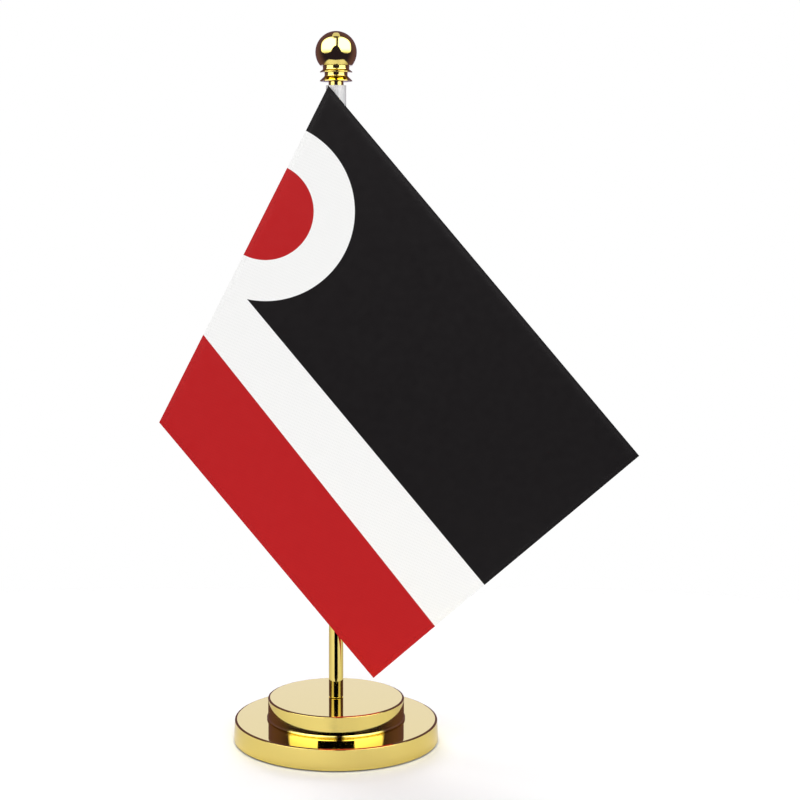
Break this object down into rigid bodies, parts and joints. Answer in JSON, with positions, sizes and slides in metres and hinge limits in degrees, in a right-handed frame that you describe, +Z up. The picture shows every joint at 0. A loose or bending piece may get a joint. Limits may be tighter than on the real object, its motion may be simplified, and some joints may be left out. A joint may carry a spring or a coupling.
{
  "type": "desk flag stand",
  "caption": "Weighted two-tier round base with a screwed-in pole, ball finial and a flat satin flag that turns on a clear sleeve.",
  "frame": {"origin": "centre of the rubber pad's underside, on the pole's axis, where the stand rests on the table", "axes": "+Z up along the pole, +X towards the flag's fly, -Y out of the flag's front"},
  "size_m": [0.196, 0.0856, 0.2919],
  "materials": {
    "gold_plate": "mirror polished gold plate",
    "zinc_steel": "zinc plated",
    "cast_iron": "as cast",
    "rubber": "matte black",
    "clear_plastic": "clear, slightly milky",
    "white_satin": "satin weave",
    "printed_satin": "printed satin weave in black, white and red",
    "interlining": "stiff non-woven"
  },
  "bodies": {
    "base": {"anti_slip_pad": "rubber", "bottom_plate": "zinc_steel", "lower_weight": "cast_iron", "lower_tier_shell": "gold_plate", "upper_weight": "cast_iron", "upper_tier_shell": "gold_plate", "centre_bush": "zinc_steel", "clamp_washer": "zinc_steel", "lock_washer": "zinc_steel", "clamp_nut": "zinc_steel"},
    "pole_foot": {"pole_bottom_stud": "zinc_steel"},
    "pole": {"pole_tube": "gold_plate", "pole_top_stud": "zinc_steel"},
    "finial_core": {"finial_insert": "zinc_steel"},
    "finial": {"finial_collar": "gold_plate", "finial_ball": "gold_plate", "ball_stud": "zinc_steel"},
    "stop_ring": {"stop_ring": "rubber"},
    "flag": {"clear_sleeve": "clear_plastic", "sleeve_pocket": "white_satin", "flag_back_cloth": "printed_satin", "flag_interlining": "interlining", "flag_front_cloth": "printed_satin"}
  },
  "joints": [
    {"name": "pole_lift", "type": "slide", "parent": "base", "child": "pole_foot", "axis": [0, 0, 1], "range_m": [0, 0.0063]},
    {"name": "pole_turn", "type": "hinge", "parent": "pole_foot", "child": "pole", "pos_m": [0, 0, 0.0184], "axis": [0, 0, 1], "range_deg": [0, 3240]},
    {"name": "finial_lift", "type": "slide", "parent": "pole", "child": "finial_core", "axis": [0, 0, 1], "range_m": [0, 0.0028]},
    {"name": "finial_turn", "type": "hinge", "parent": "finial_core", "child": "finial", "pos_m": [0, 0, 0.27204], "axis": [0, 0, 1], "range_deg": [0, 1440]},
    {"name": "ring_slide", "type": "slide", "parent": "pole", "child": "stop_ring", "axis": [0, 0, 1], "range_m": [-0.0085, 0.0013]},
    {"name": "flag_turn", "type": "hinge", "parent": "stop_ring", "child": "flag", "pos_m": [0, 0, 0.08044], "axis": [0, 0, 1], "continuous": true}
  ],
  "couplings": [
    {"joint": "pole_turn", "follows": "pole_lift", "rad_per_m": 8976},
    {"joint": "finial_turn", "follows": "finial_lift", "rad_per_m": 8976}
  ]
}
